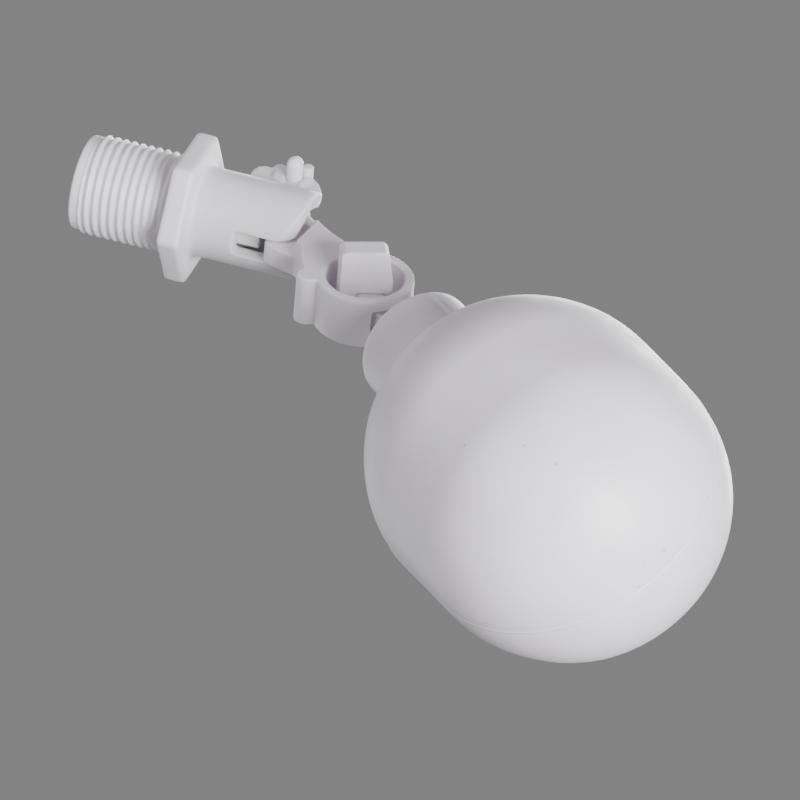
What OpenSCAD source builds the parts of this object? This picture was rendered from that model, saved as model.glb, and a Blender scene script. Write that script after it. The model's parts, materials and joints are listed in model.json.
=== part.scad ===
// Float valve for a small tank, hung from its inlet thread.
// The origin is the centre of the flange face that meets the tank wall. +Z runs up the inlet thread,
// and the lever swings about lines parallel to Y, on the +X side.

/* [Inlet] */
// Outside diameter of the inlet thread
thread_d = 20.9; // [20.6:0.05:21.2]
// Distance from one thread crest to the next
thread_pitch = 1.814; // [1.6:0.001:2]
// Diameter at the bottom of the thread grooves
thread_root_d = 18.8; // [18.4:0.1:19]
// Length of the whole inlet spigot
spigot_len = 21; // [20:0.5:24]
// Plain length before the first thread crest
lead_len = 2.6; // [2:0.1:3.5]
// Diameter of the water way in the spigot
inlet_bore_d = 13; // [12:0.5:14]

/* [Flange] */
// Distance across the flats of the hexagon
hex_af = 27.2; // [26:0.1:28]
// Thickness of the hexagon
hex_t = 4.8; // [4:0.1:6]

/* [Barrel] */
// Outside diameter of the barrel
barrel_d = 18.8; // [18:0.1:20]
// Depth of the barrel's open end below the flange face
barrel_end = 28; // [27:0.5:29]
// Diameter of the piston chamber
chamber_d = 12.4; // [12:0.1:12.8]
// Depth where the piston chamber starts
chamber_top = 6.6; // [6:0.1:7]
// Width of the fork slot that the lever works in
slot_w = 5.4; // [5:0.1:6]
// Depth where the fork slot starts
slot_top = 14.6; // [14:0.1:15]
// Radius of the fork's corners on the float side
fork_corner_r = 7; // [5:0.5:8]

/* [Seat and piston] */
// Diameter of the orifice in the seat
orifice_d = 3.2; // [2:0.1:4]
// Diameter of the seat's nose
seat_nose_d = 6; // [5.5:0.1:6.5]
// Depth of the seat's sealing edge
seat_edge = 8.4; // [8:0.1:9]
// Gap between seal and seat with the valve open
open_gap = 0.95; // [0.9:0.05:2]
// Depth of the piston's lower end
piston_end = 19.2; // [18.8:0.1:19.4]
// Width of each of the piston's four fins
fin_w = 3.9; // [3:0.1:4.5]
// Diameter of the rubber seal
seal_d = 8.6; // [8:0.1:9]

/* [Pivot] */
// Distance of the pivot from the barrel's axis
pivot_off = 10; // [9.8:0.1:10.2]
// Depth of the pivot below the flange face
pivot_depth = 20.9; // [20.7:0.1:21.1]
// Diameter of the pivot pin
pin_d = 3.4; // [3:0.1:3.6]
// Distance from the middle to each end of the pin
pin_half = 11.6; // [10:0.1:12]
// Distance from the middle to the lugs' outer faces
lug_half = 6.5; // [6.3:0.1:6.8]
// Distance from the middle to the ends of the bosses around the pin
boss_half = 7; // [6.8:0.1:7.2]
// Radius of those bosses
boss_r = 4; // [3.4:0.1:4.2]
// Distance from the middle to the top of the clip's long jaws
jaw_half = 8.5; // [8:0.1:9.2]

/* [Lever] */
// Height of the socket ring and of the arm beside it
ring_h = 11; // [10:0.1:12]
// Outside diameter of the socket ring
ring_d = 20.2; // [19.5:0.1:21]
// Bore of the socket ring
ring_bore = 16.2; // [15.5:0.1:16.8]
// Distance of the ring's centre from the barrel's axis
ring_off = 17.3; // [17:0.1:17.6]
// Depth of the ring's centre below the flange face
ring_depth = 45.9; // [45.5:0.1:46.3]
// Clearance on each side of the lever in the fork
side_gap = 0.3; // [0.2:0.05:0.4]

/* [Swivel plug] */
// Width of the thumb tab
tab_w = 11; // [10:0.1:12]
// Thickness of the thumb tab
tab_t = 4.7; // [4:0.1:5]
// Distance from the middle to the top of the thumb tab
tab_top = 12.6; // [11:0.1:13]
// Turn of the thumb tab about its own axis
tab_turn = -65; // [-70:1:-50]

/* [Float] */
// Angle of the float's axis from straight down
float_angle = 40.3; // [38:0.1:43]
// Radius of the float
float_r = 33.6; // [32:0.1:35]
// Length of the float's cylindrical belt
belt_len = 16.1; // [14:0.1:18]
// Wall of the float
float_wall = 1.2; // [1:0.1:1.6]
// Distance from the ring's centre to the cap's near face
cap_start = 18.2; // [17.5:0.1:19]
// Outside diameter of the float's cap
cap_d = 25.2; // [24:0.1:26]
// Length of the float's cap
cap_len = 15.6; // [15:0.1:16.2]
// Outside diameter of the float's neck
neck_d = 18; // [17:0.1:19]

/* [Hidden] */
$fn = 96;
fit = 0.06;
cut = 0.05;
crest_w = 0.5;
root_w = 0.35;
shoulder_top = 1.6;
shoulder_end = 3.4;
shoulder_d = 11.6;
throat_d = 8;
thin_ear_in = 5.3;
thin_ear_top = 26.6;
crest_count = floor((spigot_len - lead_len - 0.6) / thread_pitch);
barrel_r = barrel_d / 2;
slot_half = slot_w / 2;
web_half = slot_half - side_gap;
seal_t = 1.8;
seal_top = seat_edge + open_gap;
ring_half = ring_h / 2;
bore_r = ring_bore / 2;
float_c1 = cap_start + cap_len - 1.9 + float_r;
float_c2 = float_c1 + belt_len;
stem_half = 2.6;

// Rounded column along Y at one point of the lever's plane
module post(x, z, r, half) {
    translate([x, 0, z]) rotate([90, 0, 0]) cylinder(r = r, h = 2 * half, center = true);
}

// Plate along Y whose outline is given as [x, z] points
module plate(points, half) {
    rotate([90, 0, 0]) linear_extrude(height = 2 * half, center = true) polygon(points);
}

// Everything on the float's side is made hanging below the ring, and tilts about its centre
module on_float_axis() {
    translate([ring_off, 0, -ring_depth]) rotate([0, -float_angle, 0]) children();
}

module thread_profile() {
    root_r = thread_root_d / 2;
    crest_r = thread_d / 2;
    flank_w = (thread_pitch - crest_w - root_w) / 2;
    lead_r = crest_r - 0.75;
    teeth = [for (i = [crest_count - 1 : -1 : 0])
        let (top = spigot_len - lead_len - i * thread_pitch)
        for (p = [[root_r, top - crest_w - flank_w], [crest_r, top - crest_w], [crest_r, top],
            [root_r, top + flank_w]]) p];
    rotate_extrude() polygon(concat([[0, -cut], [root_r, -cut]], teeth,
        [[lead_r, spigot_len - lead_len + flank_w], [lead_r, spigot_len - 0.4],
            [lead_r - 0.4, spigot_len], [0, spigot_len]]));
}

module hex_flange() {
    corner_r = hex_af / sqrt(3);
    translate([0, 0, -hex_t]) intersection() {
        cylinder(r = corner_r, h = hex_t, $fn = 6);
        cylinder(r = corner_r - 0.1, h = hex_t);
    }
}

// Lug plates on both sides of the slot, each with a boss and two clip jaws behind the pin
module lugs() {
    difference() {
        union() {
            plate([[-4, -12.2], [-6, -12.2], [-9.6, -12.1], [-11.2, -12.7], [-11.9, -13.8], [-12, -15.4],
                [-12.4, -22], [-11.7, -24.5], [-10.2, -26.2], [-8.1, -27.5], [-5.6, -28.4], [-2.8, -28.7],
                [0, -28]], lug_half);
            post(-pivot_off, 0.5 - pivot_depth, boss_r, boss_half);
            post(-pivot_off - 2.5, -pivot_depth - 2, 1.25, jaw_half);
            post(-pivot_off - 2.3, 3.9 - pivot_depth, 1.25, jaw_half - 1.6);
        }
        cube([60, slot_w, 80], center = true);
        translate([0, 0, -30]) cylinder(d = chamber_d, h = 30);
    }
}

// Bore of the pivot, and the opening in front of the pin above each lug
module pin_seat() {
    post(-pivot_off, -pivot_depth, pin_d / 2, 20);
    for (s = [-1, 1]) translate([-pivot_off, s * (lug_half + 5), -pivot_depth])
        translate([0, -5, -pin_d / 2]) cube([6, 10, pin_d]);
}

// Takes off the fork's corner on the float side, leaving a quarter round
module fork_corner() {
    r = fork_corner_r;
    translate([barrel_r - r, 0, -barrel_end + r]) difference() {
        translate([0, -20, -2 * r]) cube([2 * r, 40, 2 * r]);
        rotate([90, 0, 0]) cylinder(r = r, h = 50, center = true);
    }
}

module valve_body() {
    color("whitesmoke") difference() {
        union() {
            thread_profile();
            hex_flange();
            translate([0, 0, -barrel_end]) cylinder(r = barrel_r, h = barrel_end - hex_t + cut);
            lugs();
        }
        translate([0, 0, -shoulder_top]) cylinder(d = inlet_bore_d, h = spigot_len + 4);
        translate([0, 0, -shoulder_end]) cylinder(d = shoulder_d, h = shoulder_end);
        translate([0, 0, -chamber_top - cut]) cylinder(d = throat_d, h = chamber_top);
        translate([0, 0, -40]) cylinder(d = chamber_d, h = 40 - chamber_top);
        translate([-30, -slot_half, -40]) cube([60, slot_w, 40 - slot_top]);
        // the ears are thinner where they end, on the pivot's side
        translate([-14, -thin_ear_in, -31]) cube([13, 2 * thin_ear_in, 31 - thin_ear_top]);
        pin_seat();
        fork_corner();
    }
}

// Press-in nozzle: a shoulder in the water way, and a narrow nose in the chamber
module seat_nozzle() {
    color("gainsboro") difference() {
        union() {
            translate([0, 0, -shoulder_end]) cylinder(d = shoulder_d, h = shoulder_end - shoulder_top);
            translate([0, 0, -chamber_top]) cylinder(d = throat_d, h = chamber_top - shoulder_end);
            translate([0, 0, -seat_edge]) cylinder(d1 = seat_nose_d - 1.6, d2 = seat_nose_d, h = 2);
        }
        translate([0, 0, -10]) cylinder(d = orifice_d, h = 12);
        translate([0, 0, -3]) cylinder(d1 = orifice_d, d2 = 7, h = 2);
    }
}

module piston() {
    fin_top = seal_top + seal_t + 1;
    piston_r = chamber_d / 2 - fit;
    color("ghostwhite") {
        translate([0, 0, -fin_top]) difference() {
            cylinder(r = piston_r, h = seal_t + 1);
            translate([0, 0, 1]) cylinder(d = seal_d, h = seal_t + 1);
            for (a = [45 : 90 : 315]) rotate([0, 0, a]) translate([piston_r, 0, -1]) cylinder(r = 1.2, h = 5);
        }
        translate([0, 0, -piston_end]) intersection() {
            cylinder(r = piston_r, h = piston_end - fin_top);
            union() for (a = [0, 90]) rotate([0, 0, a])
                translate([-10, -fin_w / 2, 0]) cube([20, fin_w, 20]);
        }
    }
}

module piston_seal() {
    color("dimgray") translate([0, 0, -seal_top - seal_t]) cylinder(d = seal_d, h = seal_t);
}

module pivot_pin() {
    color("white") post(-pivot_off, -pivot_depth, pin_d / 2 - 0.01, pin_half - pin_d / 2);
    color("white") for (s = [-1, 1])
        translate([-pivot_off, s * (pin_half - pin_d / 2), -pivot_depth]) sphere(d = pin_d - 0.02);
}

// Thin web between the fork's ears: hub, nose that pushes the piston, and the start of the arm
module lever_web() {
    plate([[-pivot_off, -17.6], [-5.6, -19.9], [-1.6, -19.9], [0, -19.6], [1.6, -19.9], [3.4, -21.2],
        [8.8, -21.3], [9.9, -22], [11.2, -25.6], [12, -28.8], [13.5, -31], [13, -38], [3.5, -36], [-1.5, -30.4],
        [-3.2, -27.4], [-9, -24]], web_half);
    post(-pivot_off, -pivot_depth, 3.3, web_half);
}

// The arm outside the fork. Its upper outline stays clear of the fork's ears over the whole swing.
module lever_arm() {
    intersection() {
        union() {
            plate([[0.6, -29.2], [1.7, -29.3], [3.6, -29.2], [5.4, -28.65], [7, -27.65], [9, -28.5],
                [13, -30.5], [16, -31.5], [19, -33.1], [21.4, -35.4], [21.2, -38.5], [16, -44],
                [10, -44], [8.7, -41.5], [5.9, -36.6], [4.1, -33.5]], ring_half);
            post(21.4, -35.1, 2.5, ring_half);
        }
        // narrow at the fork, full height at the ring
        rotate([90, 0, 90]) linear_extrude(height = 80, center = true)
            polygon([[-web_half, -26.8], [web_half, -26.8], [ring_half, -29.9], [ring_half, -60],
                [-ring_half, -60], [-ring_half, -29.9]]);
    }
}

module lever() {
    color("white") difference() {
        union() {
            lever_web();
            lever_arm();
            post(ring_off, -ring_depth, ring_d / 2, ring_half);
        }
        post(-pivot_off, -pivot_depth, pin_d / 2 + 0.04, 20);
        post(ring_off, -ring_depth, bore_r, 20);
        // window for the arm's stem, wide enough for its swing
        on_float_axis() plate([[-3.4, -6], [3.4, -6], [4, -13], [-4, -13]], stem_half + 0.4);
    }
}

// Upright column whose lower disc turns in the ring and whose top is a flat thumb tab
module swivel_plug() {
    tab_x = tab_w / 2;
    color("snow") translate([ring_off, 0, -ring_depth]) difference() {
        union() {
            rotate([90, 0, 0]) translate([0, 0, stem_half + 0.2])
                cylinder(r = bore_r - fit, h = ring_half - stem_half - 0.2);
            rotate([0, tab_turn, 0]) linear_extrude(height = tab_t, center = true)
                polygon([[tab_x, 0.4 - ring_half], [tab_x, tab_top - 0.8], [tab_x - 1, tab_top - 0.2],
                    [1.9 - tab_x, tab_top - 0.1], [1.1 - tab_x, tab_top - 1], [-tab_x, ring_half],
                    [-tab_x, 0.4 - ring_half]]);
        }
        rotate([0, -float_angle, 0]) cube([2 * stem_half, 2 * stem_half, 24], center = true);
    }
}

module float_arm() {
    color("white") difference() {
        on_float_axis() {
            translate([-stem_half, -stem_half, -cap_start - 1])
                cube([2 * stem_half, 2 * stem_half, cap_start + 4]);
            translate([0, 0, -cap_start - cap_len]) cylinder(d = cap_d, h = cap_len);
        }
        on_float_axis() translate([0, 0, -cap_start - cap_len - 1])
            cylinder(d = neck_d + 0.04, h = cap_len - 1.2);
    }
}

module neck_washer() {
    color("dimgray") on_float_axis() translate([0, 0, -cap_start - 3.6]) difference() {
        cylinder(d = neck_d - 0.2, h = 1.2);
        translate([0, 0, -1]) cylinder(d = neck_d - 7, h = 4);
    }
}

// Capsule with its two ball centres below the ring
module capsule(r) {
    for (c = [float_c1, float_c2]) translate([0, 0, -c]) sphere(r = r);
    translate([0, 0, -float_c2]) cylinder(r = r, h = belt_len);
}

module float_shell() {
    neck_top = cap_start + 3.6;
    color("white") on_float_axis() difference() {
        union() {
            difference() {
                capsule(float_r);
                translate([0, 0, -cap_start - cap_len]) cylinder(d = cap_d + 2, h = cap_len);
            }
            translate([0, 0, -float_c1 + float_r - 4]) cylinder(d = neck_d, h = float_c1 - float_r + 4 - neck_top);
        }
        capsule(float_r - float_wall);
        translate([0, 0, -float_c1]) cylinder(d = neck_d - 3, h = float_c1);
    }
}

valve_body();
seat_nozzle();
piston();
piston_seal();
pivot_pin();
lever();
swivel_plug();
float_arm();
neck_washer();
float_shell();
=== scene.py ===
import json
import math

import bmesh
import bpy
from mathutils import Matrix, Vector

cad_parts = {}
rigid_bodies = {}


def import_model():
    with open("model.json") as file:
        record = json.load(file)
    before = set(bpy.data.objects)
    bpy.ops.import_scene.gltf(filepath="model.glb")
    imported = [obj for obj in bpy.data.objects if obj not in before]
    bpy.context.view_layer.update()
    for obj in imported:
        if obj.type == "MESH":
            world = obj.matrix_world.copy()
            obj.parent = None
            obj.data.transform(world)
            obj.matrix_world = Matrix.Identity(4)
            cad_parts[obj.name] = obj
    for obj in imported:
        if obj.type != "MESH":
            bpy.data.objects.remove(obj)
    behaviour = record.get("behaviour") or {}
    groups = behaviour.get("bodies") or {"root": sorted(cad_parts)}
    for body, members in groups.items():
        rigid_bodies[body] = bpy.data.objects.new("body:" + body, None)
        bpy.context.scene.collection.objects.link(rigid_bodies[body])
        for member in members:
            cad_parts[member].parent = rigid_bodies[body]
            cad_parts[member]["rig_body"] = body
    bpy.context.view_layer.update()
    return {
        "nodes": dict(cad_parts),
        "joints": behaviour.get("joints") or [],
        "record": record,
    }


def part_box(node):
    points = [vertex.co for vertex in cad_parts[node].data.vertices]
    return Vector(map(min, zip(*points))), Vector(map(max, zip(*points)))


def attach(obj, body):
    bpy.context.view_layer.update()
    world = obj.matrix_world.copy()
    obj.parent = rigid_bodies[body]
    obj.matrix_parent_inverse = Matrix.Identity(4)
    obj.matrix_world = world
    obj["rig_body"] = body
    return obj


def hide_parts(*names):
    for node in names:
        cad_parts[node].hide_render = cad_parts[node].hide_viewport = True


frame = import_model()

MM = 0.001


def joint_place(name):
    return next(Vector(j["pos_m"]) for j in frame["joints"] if j["name"] == name)


# Inlet spigot and its thread, along the Z axis
SPIGOT_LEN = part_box("valve_body")[1].z
BORE_R = 6.5 * MM
ROOT_R = 9.85 * MM
CREST_R = 10.45 * MM
PITCH = 1.814 * MM
LEAD_LEN = 2.6 * MM

# The float's axis. It starts in the middle of the socket ring, and depths along it are
# measured from there.
RING = joint_place("arm_adjust")
FLOAT_ANGLE = math.radians(40.3)
ALONG = Vector((math.sin(FLOAT_ANGLE), 0, -math.cos(FLOAT_ANGLE)))
ACROSS = Vector((math.cos(FLOAT_ANGLE), 0, math.sin(FLOAT_ANGLE)))
SIDE = Vector((0, 1, 0))

# Stem and cap, as depths and radii
STEM_HALF = 2.6 * MM
CAP_START = 18.2 * MM
CAP_END = 33.8 * MM
CAP_R = 12.4 * MM

# Float: a neck and two half balls with a straight stretch between them
float_low, float_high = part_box("float_shell")
FLOAT_R = (float_high.y - float_low.y) / 2
BALL_NEAR = 65.5 * MM
BALL_FAR = 81.6 * MM
NECK_R = 9 * MM
NECK_TOP = CAP_START + 3.6 * MM
PARTING_TURN = math.radians(147)


# Mesh helpers
def new_object(name, data):
    obj = bpy.data.objects.new(name, data)
    bpy.context.scene.collection.objects.link(obj)
    return obj


def smooth_shading(obj):
    for face in obj.data.polygons:
        face.use_smooth = True


def bake_modifiers(obj):
    """Replaces the object's mesh with what its modifiers make of it."""
    graph = bpy.context.evaluated_depsgraph_get()
    mesh = bpy.data.meshes.new_from_object(obj.evaluated_get(graph))
    obj.modifiers.clear()
    obj.data = mesh


def soften(obj, voxel, passes):
    """Remeshes a closed shape and rounds its edges, as a mould does."""
    remesh = obj.modifiers.new("remesh", "REMESH")
    remesh.mode = "VOXEL"
    remesh.voxel_size = voxel
    relax = obj.modifiers.new("relax", "SMOOTH")
    relax.factor = 0.5
    relax.iterations = passes
    bake_modifiers(obj)
    smooth_shading(obj)


def stand_in(obj, node):
    """The object moves with the CAD node's body and is shown in the node's place."""
    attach(obj, frame["nodes"][node]["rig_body"])
    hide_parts(node)


def moulded(node, name, voxel, passes):
    """A soft-edged copy of one CAD node, in the node's place."""
    obj = new_object(name, frame["nodes"][node].data.copy())
    obj.data.materials.clear()
    soften(obj, voxel, passes)
    stand_in(obj, node)
    return obj


def ring_surface(name, rows, closed):
    """A smooth quad mesh through rows of points, each row a closed loop.

    A closed one joins the last row to the first, and an open one has a flat face at both ends.
    """
    count = len(rows[0])
    mesh = bpy.data.meshes.new(name)
    faces = []
    for i in range(len(rows) if closed else len(rows) - 1):
        a, b = i * count, (i + 1) % len(rows) * count
        for k in range(count):
            n = (k + 1) % count
            faces.append((a + k, a + n, b + n, b + k))
    if not closed:
        faces.append(tuple(range(count))[::-1])
        faces.append(tuple(range((len(rows) - 1) * count, len(rows) * count)))
    mesh.from_pydata([tuple(p) for row in rows for p in row], [], faces)
    bm = bmesh.new()
    bm.from_mesh(mesh)
    bmesh.ops.recalc_face_normals(bm, faces=bm.faces)
    bm.to_mesh(mesh)
    bm.free()
    obj = new_object(name, mesh)
    smooth_shading(obj)
    return obj


def arc(centre, radius, start, end, steps):
    """Points of an arc in a profile's (radius, height) plane, angles in degrees."""
    turns = [math.radians(start + (end - start) * i / steps) for i in range(steps + 1)]
    return [(centre[0] + radius * math.cos(t), centre[1] + radius * math.sin(t)) for t in turns]


def full_turn(steps):
    return [2 * math.pi * i / steps for i in range(steps)]


def step_up(x, low, high):
    """Rises smoothly from 0 at low to 1 at high."""
    t = min(max((x - low) / (high - low), 0), 1)
    return t * t * (3 - 2 * t)


def bell(x, width):
    return math.exp(-(x / width) ** 2)


def turn_between(a, b):
    return abs((a - b + math.pi) % (2 * math.pi) - math.pi)


def outward(turn):
    """The direction away from the float's axis, at a turn round it."""
    return ACROSS * math.cos(turn) + SIDE * math.sin(turn)


def on_float(radius, turn, depth):
    """A point at a distance from the float's axis, a turn round it and a depth along it."""
    return RING + ALONG * depth + outward(turn) * radius


# Valve body, in two pieces
def inlet_thread():
    """One helical ridge with the mould's flat along it, on a tube with rounded ends."""
    steps = 180
    row_gap = 0.1 * MM
    start = -0.4 * MM
    plain_end = 1.1 * MM
    outer_round, inner_round = 0.5 * MM, 0.4 * MM
    full = CREST_R - ROOT_R
    fade_in_from, fade_in_to = 0.3 * MM, 1.6 * MM
    fade_out_from = SPIGOT_LEN - LEAD_LEN
    fade_out_to = fade_out_from + 0.9 * MM
    flat_turn = math.radians(-15)
    flat_inner, flat_outer = math.radians(8), math.radians(17)
    flat_top, flat_gone = 4.6 * MM, 6.4 * MM
    flat_share = 0.55

    def thread_radius(turn, z):
        phase = (z / PITCH - turn / (2 * math.pi)) % 1
        ridge = step_up(1 - abs(2 * phase - 1), 0, 1)
        fade = step_up(z, fade_in_from, fade_in_to) * (1 - step_up(z, fade_out_from, fade_out_to))
        flat = 1 - step_up(turn_between(turn, flat_turn), flat_inner, flat_outer)
        flat *= 1 - step_up(z, flat_top, flat_gone)
        return ROOT_R + full * (ridge * fade * (1 - flat) + flat_share * flat)

    loop = full_turn(steps)
    rows = []

    def add_row(z, radii):
        rows.append([(r * math.cos(t), r * math.sin(t), z) for r, t in zip(radii, loop)])

    for i in range(int((SPIGOT_LEN - plain_end - start) / row_gap)):
        z = start + i * row_gap
        add_row(z, [thread_radius(t, z) for t in loop])
    rim = arc((ROOT_R - outer_round, SPIGOT_LEN - outer_round), outer_round, 0, 90, 6)
    rim += arc((BORE_R + inner_round, SPIGOT_LEN - inner_round), inner_round, 90, 180, 6)
    bore = [(BORE_R, start + share * SPIGOT_LEN) for share in (0.75, 0.5, 0.25, 0)]
    for radius, z in rim + bore:
        add_row(z, [radius] * steps)
    obj = ring_surface("inlet_thread", rows, closed=True)
    stand_in(obj, "valve_body")
    return obj


def body_moulding():
    """Flange, barrel, fork and lugs, from the CAD body without its spigot."""
    spigot_cut = 0.7 * MM
    flange_bottom = -6.5 * MM
    flange_passes = 28
    obj = moulded("valve_body", "body_moulding", voxel=0.27 * MM, passes=7)
    bm = bmesh.new()
    bm.from_mesh(obj.data)
    everything = bm.verts[:] + bm.edges[:] + bm.faces[:]
    bmesh.ops.bisect_plane(
        bm, geom=everything, plane_co=(0, 0, spigot_cut), plane_no=(0, 0, 1), clear_outer=True
    )
    rim = [e for e in bm.edges if e.is_boundary]
    bmesh.ops.triangle_fill(bm, edges=rim, use_beauty=True)
    flange = [v for v in bm.verts if v.co.z > flange_bottom]
    for _ in range(flange_passes):
        bmesh.ops.smooth_vert(
            bm, verts=flange, factor=0.5, use_axis_x=True, use_axis_y=True, use_axis_z=True
        )
    bm.to_mesh(obj.data)
    bm.free()
    smooth_shading(obj)
    return obj


# Float and arm
def float_shell():
    """One lathed capsule with its neck, a raised parting line and the slight waves of blow moulding.

    The mesh is finer near the parting line.
    """
    side_steps, crowding = 24, 1.8
    shares = [i / side_steps for i in range(-side_steps, side_steps)]
    graded = [math.copysign(abs(s) ** crowding, s) * math.pi / 2 for s in shares]
    turns = [PARTING_TURN + half * math.pi + g for half in (0, 1) for g in graded]
    straight_steps = 12
    neck_round = 0.6 * MM
    neck_hole = 0.02 * MM
    inset = 0.28 * MM
    shoulder = BALL_NEAR - math.sqrt(FLOAT_R ** 2 - NECK_R ** 2)
    ball_start = math.degrees(math.asin(NECK_R / FLOAT_R)) - 90
    profile = [(neck_hole, NECK_TOP), (NECK_R - neck_round, NECK_TOP)]
    profile += [(NECK_R, NECK_TOP + neck_round), (NECK_R, shoulder)]
    profile += [(r, BALL_NEAR + h) for r, h in arc((0, 0), FLOAT_R, ball_start + 0.5, 0, 60)]
    straight = BALL_FAR - BALL_NEAR
    profile += [(FLOAT_R, BALL_NEAR + straight * i / straight_steps) for i in range(1, straight_steps)]
    profile += [(r, BALL_FAR + h) for r, h in arc((0, 0), FLOAT_R, 0, 89.8, 80)]

    # The parting line stands in a shallow dip. Heights and widths are in millimetres.
    parting_normal = SIDE * math.cos(PARTING_TURN) - ACROSS * math.sin(PARTING_TURN)
    line_height, line_width = 0.16, 0.17
    dip_depth, dip_width = 0.1, 1.1
    long_wave, short_wave = 0.10, 0.07

    def point(radius, turn, depth):
        p = on_float(radius, turn, depth)
        if radius <= NECK_R and depth < BALL_NEAR:
            return p
        middle = RING + ALONG * min(max(depth, BALL_NEAR), BALL_FAR)
        off_plane = (p - RING).dot(parting_normal) / MM
        seam = line_height * bell(off_plane, line_width) - dip_depth * bell(off_plane, dip_width)
        waves = long_wave * math.sin(3 * turn + depth / (9 * MM))
        waves += short_wave * math.sin(5 * turn - depth / (6 * MM) + 1)
        waves *= min(radius / FLOAT_R, 1) ** 2
        return p + (p - middle).normalized() * ((seam + waves) * MM - inset)

    rows = [[point(r, t, d) for t in turns] for r, d in profile]
    obj = ring_surface("float_shell_skin", rows, closed=False)
    stand_in(obj, "float_shell")
    return obj


def float_cap():
    """Cap over the float's neck, well rounded towards the ring, off centre and with a finger pad."""
    edge = 2.6 * MM
    bevel = 0.3 * MM
    top_wall = 1.4 * MM
    top_hole = 0.05 * MM
    inner = NECK_R + 0.3 * MM
    skin_from = inner + 1 * MM
    off_centre = outward(math.radians(140)) * 0.45 * MM
    pad_start, pad_end = math.radians(103), math.radians(178)
    pad_rise = 0.45 * MM
    ramp = math.radians(5)

    def point(radius, turn, depth):
        if radius <= skin_from:
            return on_float(radius, turn, depth)
        on_pad = step_up(turn, pad_start - ramp, pad_start)
        on_pad *= 1 - step_up(turn, pad_end - ramp, pad_end)
        radius += pad_rise * on_pad * step_up(depth, CAP_START + 0.5 * MM, CAP_START + edge)
        return on_float(radius, turn, depth) + off_centre

    straight = CAP_END - CAP_START - edge
    profile = [(inner, CAP_END), (CAP_R - bevel, CAP_END), (CAP_R, CAP_END - bevel)]
    profile += [(CAP_R, CAP_END - straight * i / 8) for i in range(1, 8)]
    profile += [(r, CAP_START + edge + h) for r, h in arc((CAP_R - edge, 0), edge, 0, -90, 12)]
    profile += [(STEM_HALF, CAP_START), (top_hole, CAP_START)]
    profile += [(top_hole, CAP_START + top_wall), (inner, CAP_START + top_wall)]
    loop = full_turn(240)
    rows = [[point(r, t, d) for t in loop] for r, d in profile]
    obj = ring_surface("float_cap", rows, closed=True)
    stand_in(obj, "float_arm")
    return obj


def float_stem():
    """Square stem between ring and cap, with rounded corners, flared where it meets the cap.

    Its outline is given as depths in millimetres, and what is added to half its width there.
    """
    corner = 0.6 * MM
    start_bevel = ((-2.6, -0.5), (-2.4, 0))
    straight = ((6, 0), (15, 0))
    flare = ((17, 0.1), (17.9, 0.5), (18.4, 1), (19, 1.1))
    rows = []
    for depth, growth in start_bevel + straight + flare:
        reach = STEM_HALF + growth * MM - corner
        loop = []
        for x_way, y_way, start in ((1, 1, 0), (-1, 1, 90), (-1, -1, 180), (1, -1, 270)):
            for x, y in arc((x_way * reach, y_way * reach), corner, start, start + 90, 5):
                loop.append(RING + ALONG * depth * MM + ACROSS * x + SIDE * y)
        rows.append(loop)
    obj = ring_surface("float_stem", rows, closed=False)
    stand_in(obj, "float_arm")
    return obj


# Materials
DUST = (0.33, 0.29, 0.27)
DUST_GAP = 11 * MM


def plastic(name, light, shade, roughness, speck=0.0, glow=0.4):
    """Moulded plastic: two close tints that drift into each other, uneven gloss, and a fine skin.

    speck is how strongly dust specks show, and glow how much light goes through the surface.
    """
    material = bpy.data.materials.new(name)
    material.use_nodes = True
    nodes, links = material.node_tree.nodes, material.node_tree.links
    shader = nodes["Principled BSDF"]
    shader.inputs["Subsurface Weight"].default_value = glow
    shader.inputs["Subsurface Radius"].default_value = (1.0, 0.85, 0.8)
    shader.inputs["Subsurface Scale"].default_value = 2.6 * MM
    shader.inputs["IOR"].default_value = 1.49
    place = nodes.new("ShaderNodeTexCoord").outputs["Object"]

    def noise(scale_mm, detail):
        n = nodes.new("ShaderNodeTexNoise")
        n.inputs["Scale"].default_value = 1 / (scale_mm * MM)
        n.inputs["Detail"].default_value = detail
        links.new(place, n.inputs["Vector"])
        return n.outputs["Fac"]

    def mapped(value, low, high, to_low, to_high):
        r = nodes.new("ShaderNodeMapRange")
        r.inputs["From Min"].default_value = low
        r.inputs["From Max"].default_value = high
        r.inputs["To Min"].default_value = to_low
        r.inputs["To Max"].default_value = to_high
        links.new(value, r.inputs["Value"])
        return r.outputs["Result"]

    def mixed(factor, a, b):
        m = nodes.new("ShaderNodeMixRGB")
        links.new(factor, m.inputs["Fac"])
        for socket, colour in ((m.inputs["Color1"], a), (m.inputs["Color2"], b)):
            if isinstance(colour, tuple):
                socket.default_value = (*colour, 1)
            else:
                links.new(colour, socket)
        return m.outputs["Color"]

    patches = noise(scale_mm=14, detail=3)
    colour = mixed(mapped(patches, 0.35, 0.65, 0, 1), light, shade)
    if speck:
        dots = nodes.new("ShaderNodeTexVoronoi")
        dots.inputs["Scale"].default_value = 1 / DUST_GAP
        links.new(place, dots.inputs["Vector"])
        colour = mixed(mapped(dots.outputs["Distance"], 0.025, 0.04, speck, 0), colour, DUST)
    links.new(colour, shader.inputs["Base Color"])
    sheen = noise(scale_mm=5, detail=4)
    uneven = mapped(sheen, 0.3, 0.7, roughness - 0.05, roughness + 0.07)
    links.new(uneven, shader.inputs["Roughness"])
    skin = nodes.new("ShaderNodeBump")
    skin.inputs["Strength"].default_value = 0.35
    skin.inputs["Distance"].default_value = 0.03 * MM
    links.new(noise(scale_mm=0.45, detail=5), skin.inputs["Height"])
    links.new(skin.outputs["Normal"], shader.inputs["Normal"])
    return material


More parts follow.
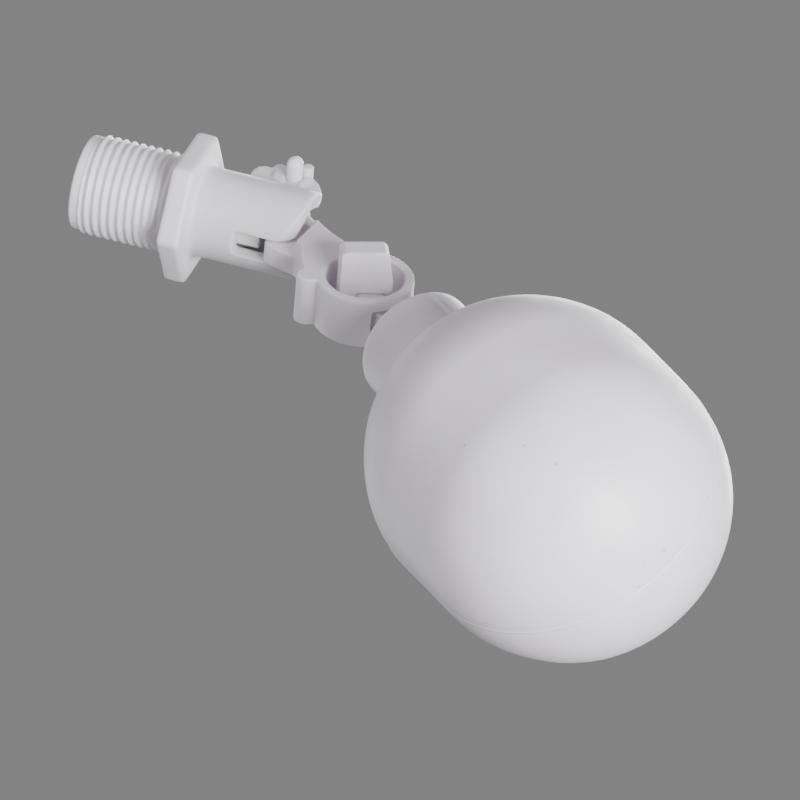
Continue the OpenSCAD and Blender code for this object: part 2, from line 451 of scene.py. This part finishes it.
MATERIALS = {
    "body_plastic": plastic("white_body", (0.82, 0.79, 0.845), (0.785, 0.75, 0.80), 0.42),
    "insert_plastic": plastic("natural_insert", (0.68, 0.67, 0.65), (0.62, 0.61, 0.59), 0.5),
    "piston_plastic": plastic("white_piston", (0.80, 0.80, 0.77), (0.76, 0.755, 0.73), 0.4),
    "seal_rubber": plastic("black_rubber", (0.025, 0.025, 0.027), (0.035, 0.034, 0.034), 0.7, glow=0),
    "pin_plastic": plastic("smooth_pin", (0.83, 0.82, 0.88), (0.80, 0.79, 0.85), 0.3),
    "lever_plastic": plastic("white_lever", (0.82, 0.785, 0.835), (0.775, 0.735, 0.785), 0.43),
    "float_plastic": plastic(
        "white_float", (0.80, 0.755, 0.82), (0.775, 0.725, 0.785), 0.4, speck=0.5, glow=0.3
    ),
}
slot_of = {s["node"]: s["material_slot"] for s in frame["record"]["subparts"]}


def finish_piece(obj, slot):
    obj.data.materials.clear()
    obj.data.materials.append(MATERIALS[slot])


for piece in (inlet_thread(), body_moulding()):
    finish_piece(piece, "body_plastic")
finish_piece(moulded("lever", "lever_moulding", voxel=0.25 * MM, passes=12), "lever_plastic")
finish_piece(moulded("swivel_plug", "swivel_plug_moulding", voxel=0.2 * MM, passes=7), "lever_plastic")
finish_piece(moulded("piston", "piston_moulding", voxel=0.16 * MM, passes=5), "piston_plastic")
for piece in (float_cap(), float_stem()):
    finish_piece(piece, "lever_plastic")
finish_piece(float_shell(), "float_plastic")

# The other CAD nodes keep their own mesh
for node in ("seat_nozzle", "piston_seal", "pivot_pin", "neck_washer"):
    for s in frame["nodes"][node].material_slots:
        s.material = MATERIALS[slot_of[node]]

# Camera, looking up at the float's end from so far away that the view is nearly parallel.
# The middle of the view is given in metres to the right and up from the frame's origin.
CAM_DIST = 6.0
VIEW_WIDTH = 0.164271
MIDDLE_RIGHT, MIDDLE_UP = 0.04513, -0.04004
back = Vector((0.8056, 0.5429, -0.2371)).normalized()
right = Vector((-0.3252, 0.0708, -0.943)).normalized()
up = back.cross(right).normalized()
right = up.cross(back).normalized()
target = right * MIDDLE_RIGHT + up * MIDDLE_UP
cam_data = bpy.data.cameras.new("camera")
cam_data.sensor_width = 36
cam_data.lens = cam_data.sensor_width * CAM_DIST / VIEW_WIDTH
cam_data.clip_end = 200
cam = new_object("camera", cam_data)
turned = Matrix((right, up, back)).transposed().to_4x4()
cam.matrix_world = Matrix.Translation(target + back * CAM_DIST) @ turned
bpy.context.scene.camera = cam


# Floor, world and lights
def floor():
    """A plain pale floor, far enough down to stay out of low views."""
    half, low = 60, -12
    corners = [(-half, -half, low), (half, -half, low), (half, half, low), (-half, half, low)]
    mesh = bpy.data.meshes.new("floor")
    mesh.from_pydata(corners, [], [(0, 1, 2, 3)])
    obj = new_object("floor", mesh)
    paint = bpy.data.materials.new("floor_paint")
    paint.use_nodes = True
    shader = paint.node_tree.nodes["Principled BSDF"]
    shader.inputs["Base Color"].default_value = (0.7, 0.7, 0.7, 1)
    shader.inputs["Roughness"].default_value = 0.8
    mesh.materials.append(paint)


floor()
world = bpy.data.worlds.new("world")
bpy.context.scene.world = world
world.use_nodes = True
sky = world.node_tree.nodes["Background"]
sky.inputs["Color"].default_value = (0.5, 0.5, 0.5, 1)
sky.inputs["Strength"].default_value = 0.46


def area_light(name, offset, size, power):
    """A square soft light that faces the middle of the view.

    offset is its place from there, in metres to the right, up and towards the camera.
    """
    data = bpy.data.lights.new(name, "AREA")
    data.size = size
    data.energy = power
    obj = new_object(name, data)
    spot = target + right * offset[0] + up * offset[1] + back * offset[2]
    turn = (spot - target).to_track_quat("Z", "Y").to_matrix().to_4x4()
    obj.matrix_world = Matrix.Translation(spot) @ turn


area_light("key", (0.6, -0.22, 1.05), 0.6, 39)
area_light("left_fill", (-0.95, 0.5, 0.55), 0.8, 5)
area_light("top_fill", (0, 1.15, 0.2), 0.8, 1.5)
area_light("low_fill", (0.3, -1.1, 0.2), 0.8, 0.5)
area_light("back_light", (0.35, 0.3, -1.1), 0.7, 15)
area_light("back_fill", (-0.8, -0.2, -0.8), 0.8, 3)
